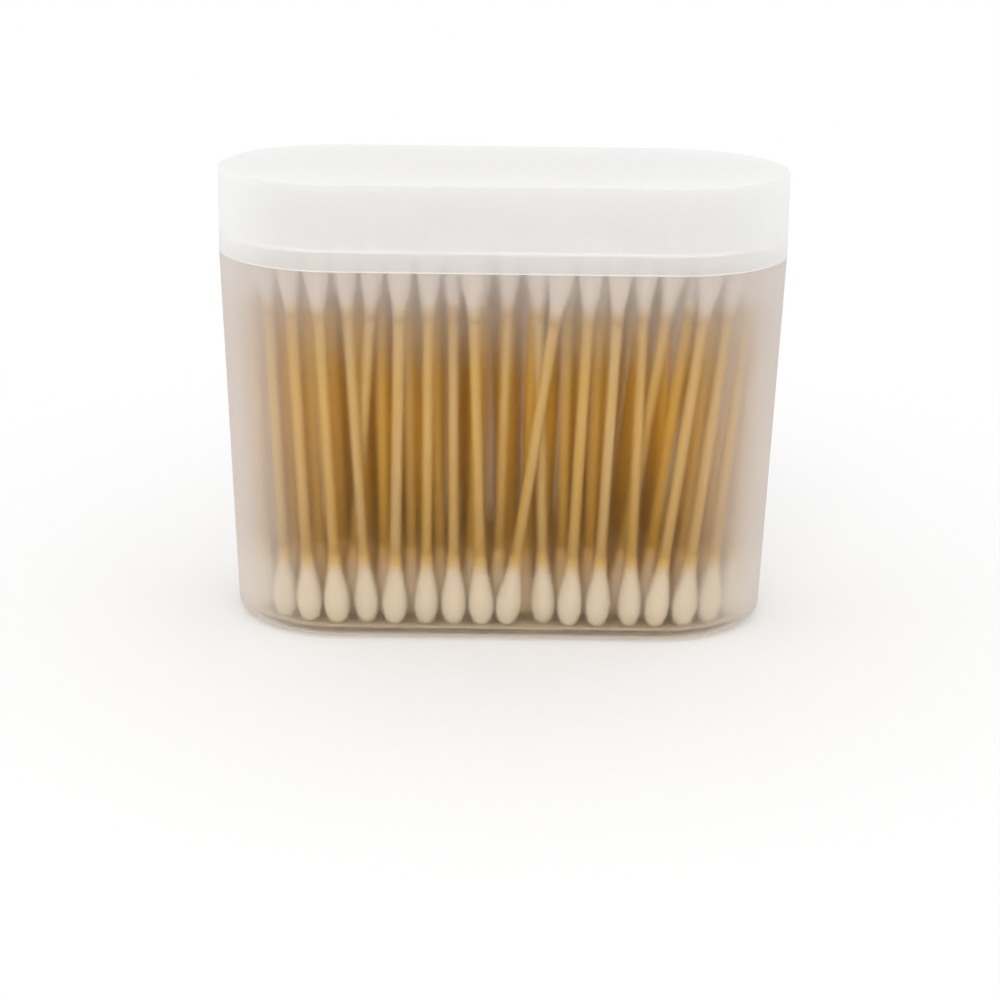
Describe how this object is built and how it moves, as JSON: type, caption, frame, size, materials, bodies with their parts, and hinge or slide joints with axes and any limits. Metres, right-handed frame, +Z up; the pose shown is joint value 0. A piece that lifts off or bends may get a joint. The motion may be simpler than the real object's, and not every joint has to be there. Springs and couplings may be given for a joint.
{
  "type": "cotton swab tub",
  "caption": "Obround frosted plastic tub with a flush push-on lid, packed with upright bamboo cotton swabs.",
  "frame": {"origin": "on the table, under the middle of the tub", "axes": "+X along the tub's length to the right, +Y from the front to the back, +Z up"},
  "size_m": [0.1086, 0.0472, 0.088],
  "materials": {
    "tub_shell": "frosted, translucent",
    "lid_shell": "frosted, translucent",
    "bamboo": "bare, fine straight grain",
    "cotton": "spun cotton"
  },
  "bodies": {
    "tub": {"tub": "tub_shell", "swab_sticks": "bamboo", "swab_tips": "cotton"},
    "lid": {"lid": "lid_shell"}
  },
  "joints": [
    {"name": "lid_lift", "type": "slide", "parent": "tub", "child": "lid", "axis": [0, 0, 1], "range_m": [0, 0.05]}
  ]
}
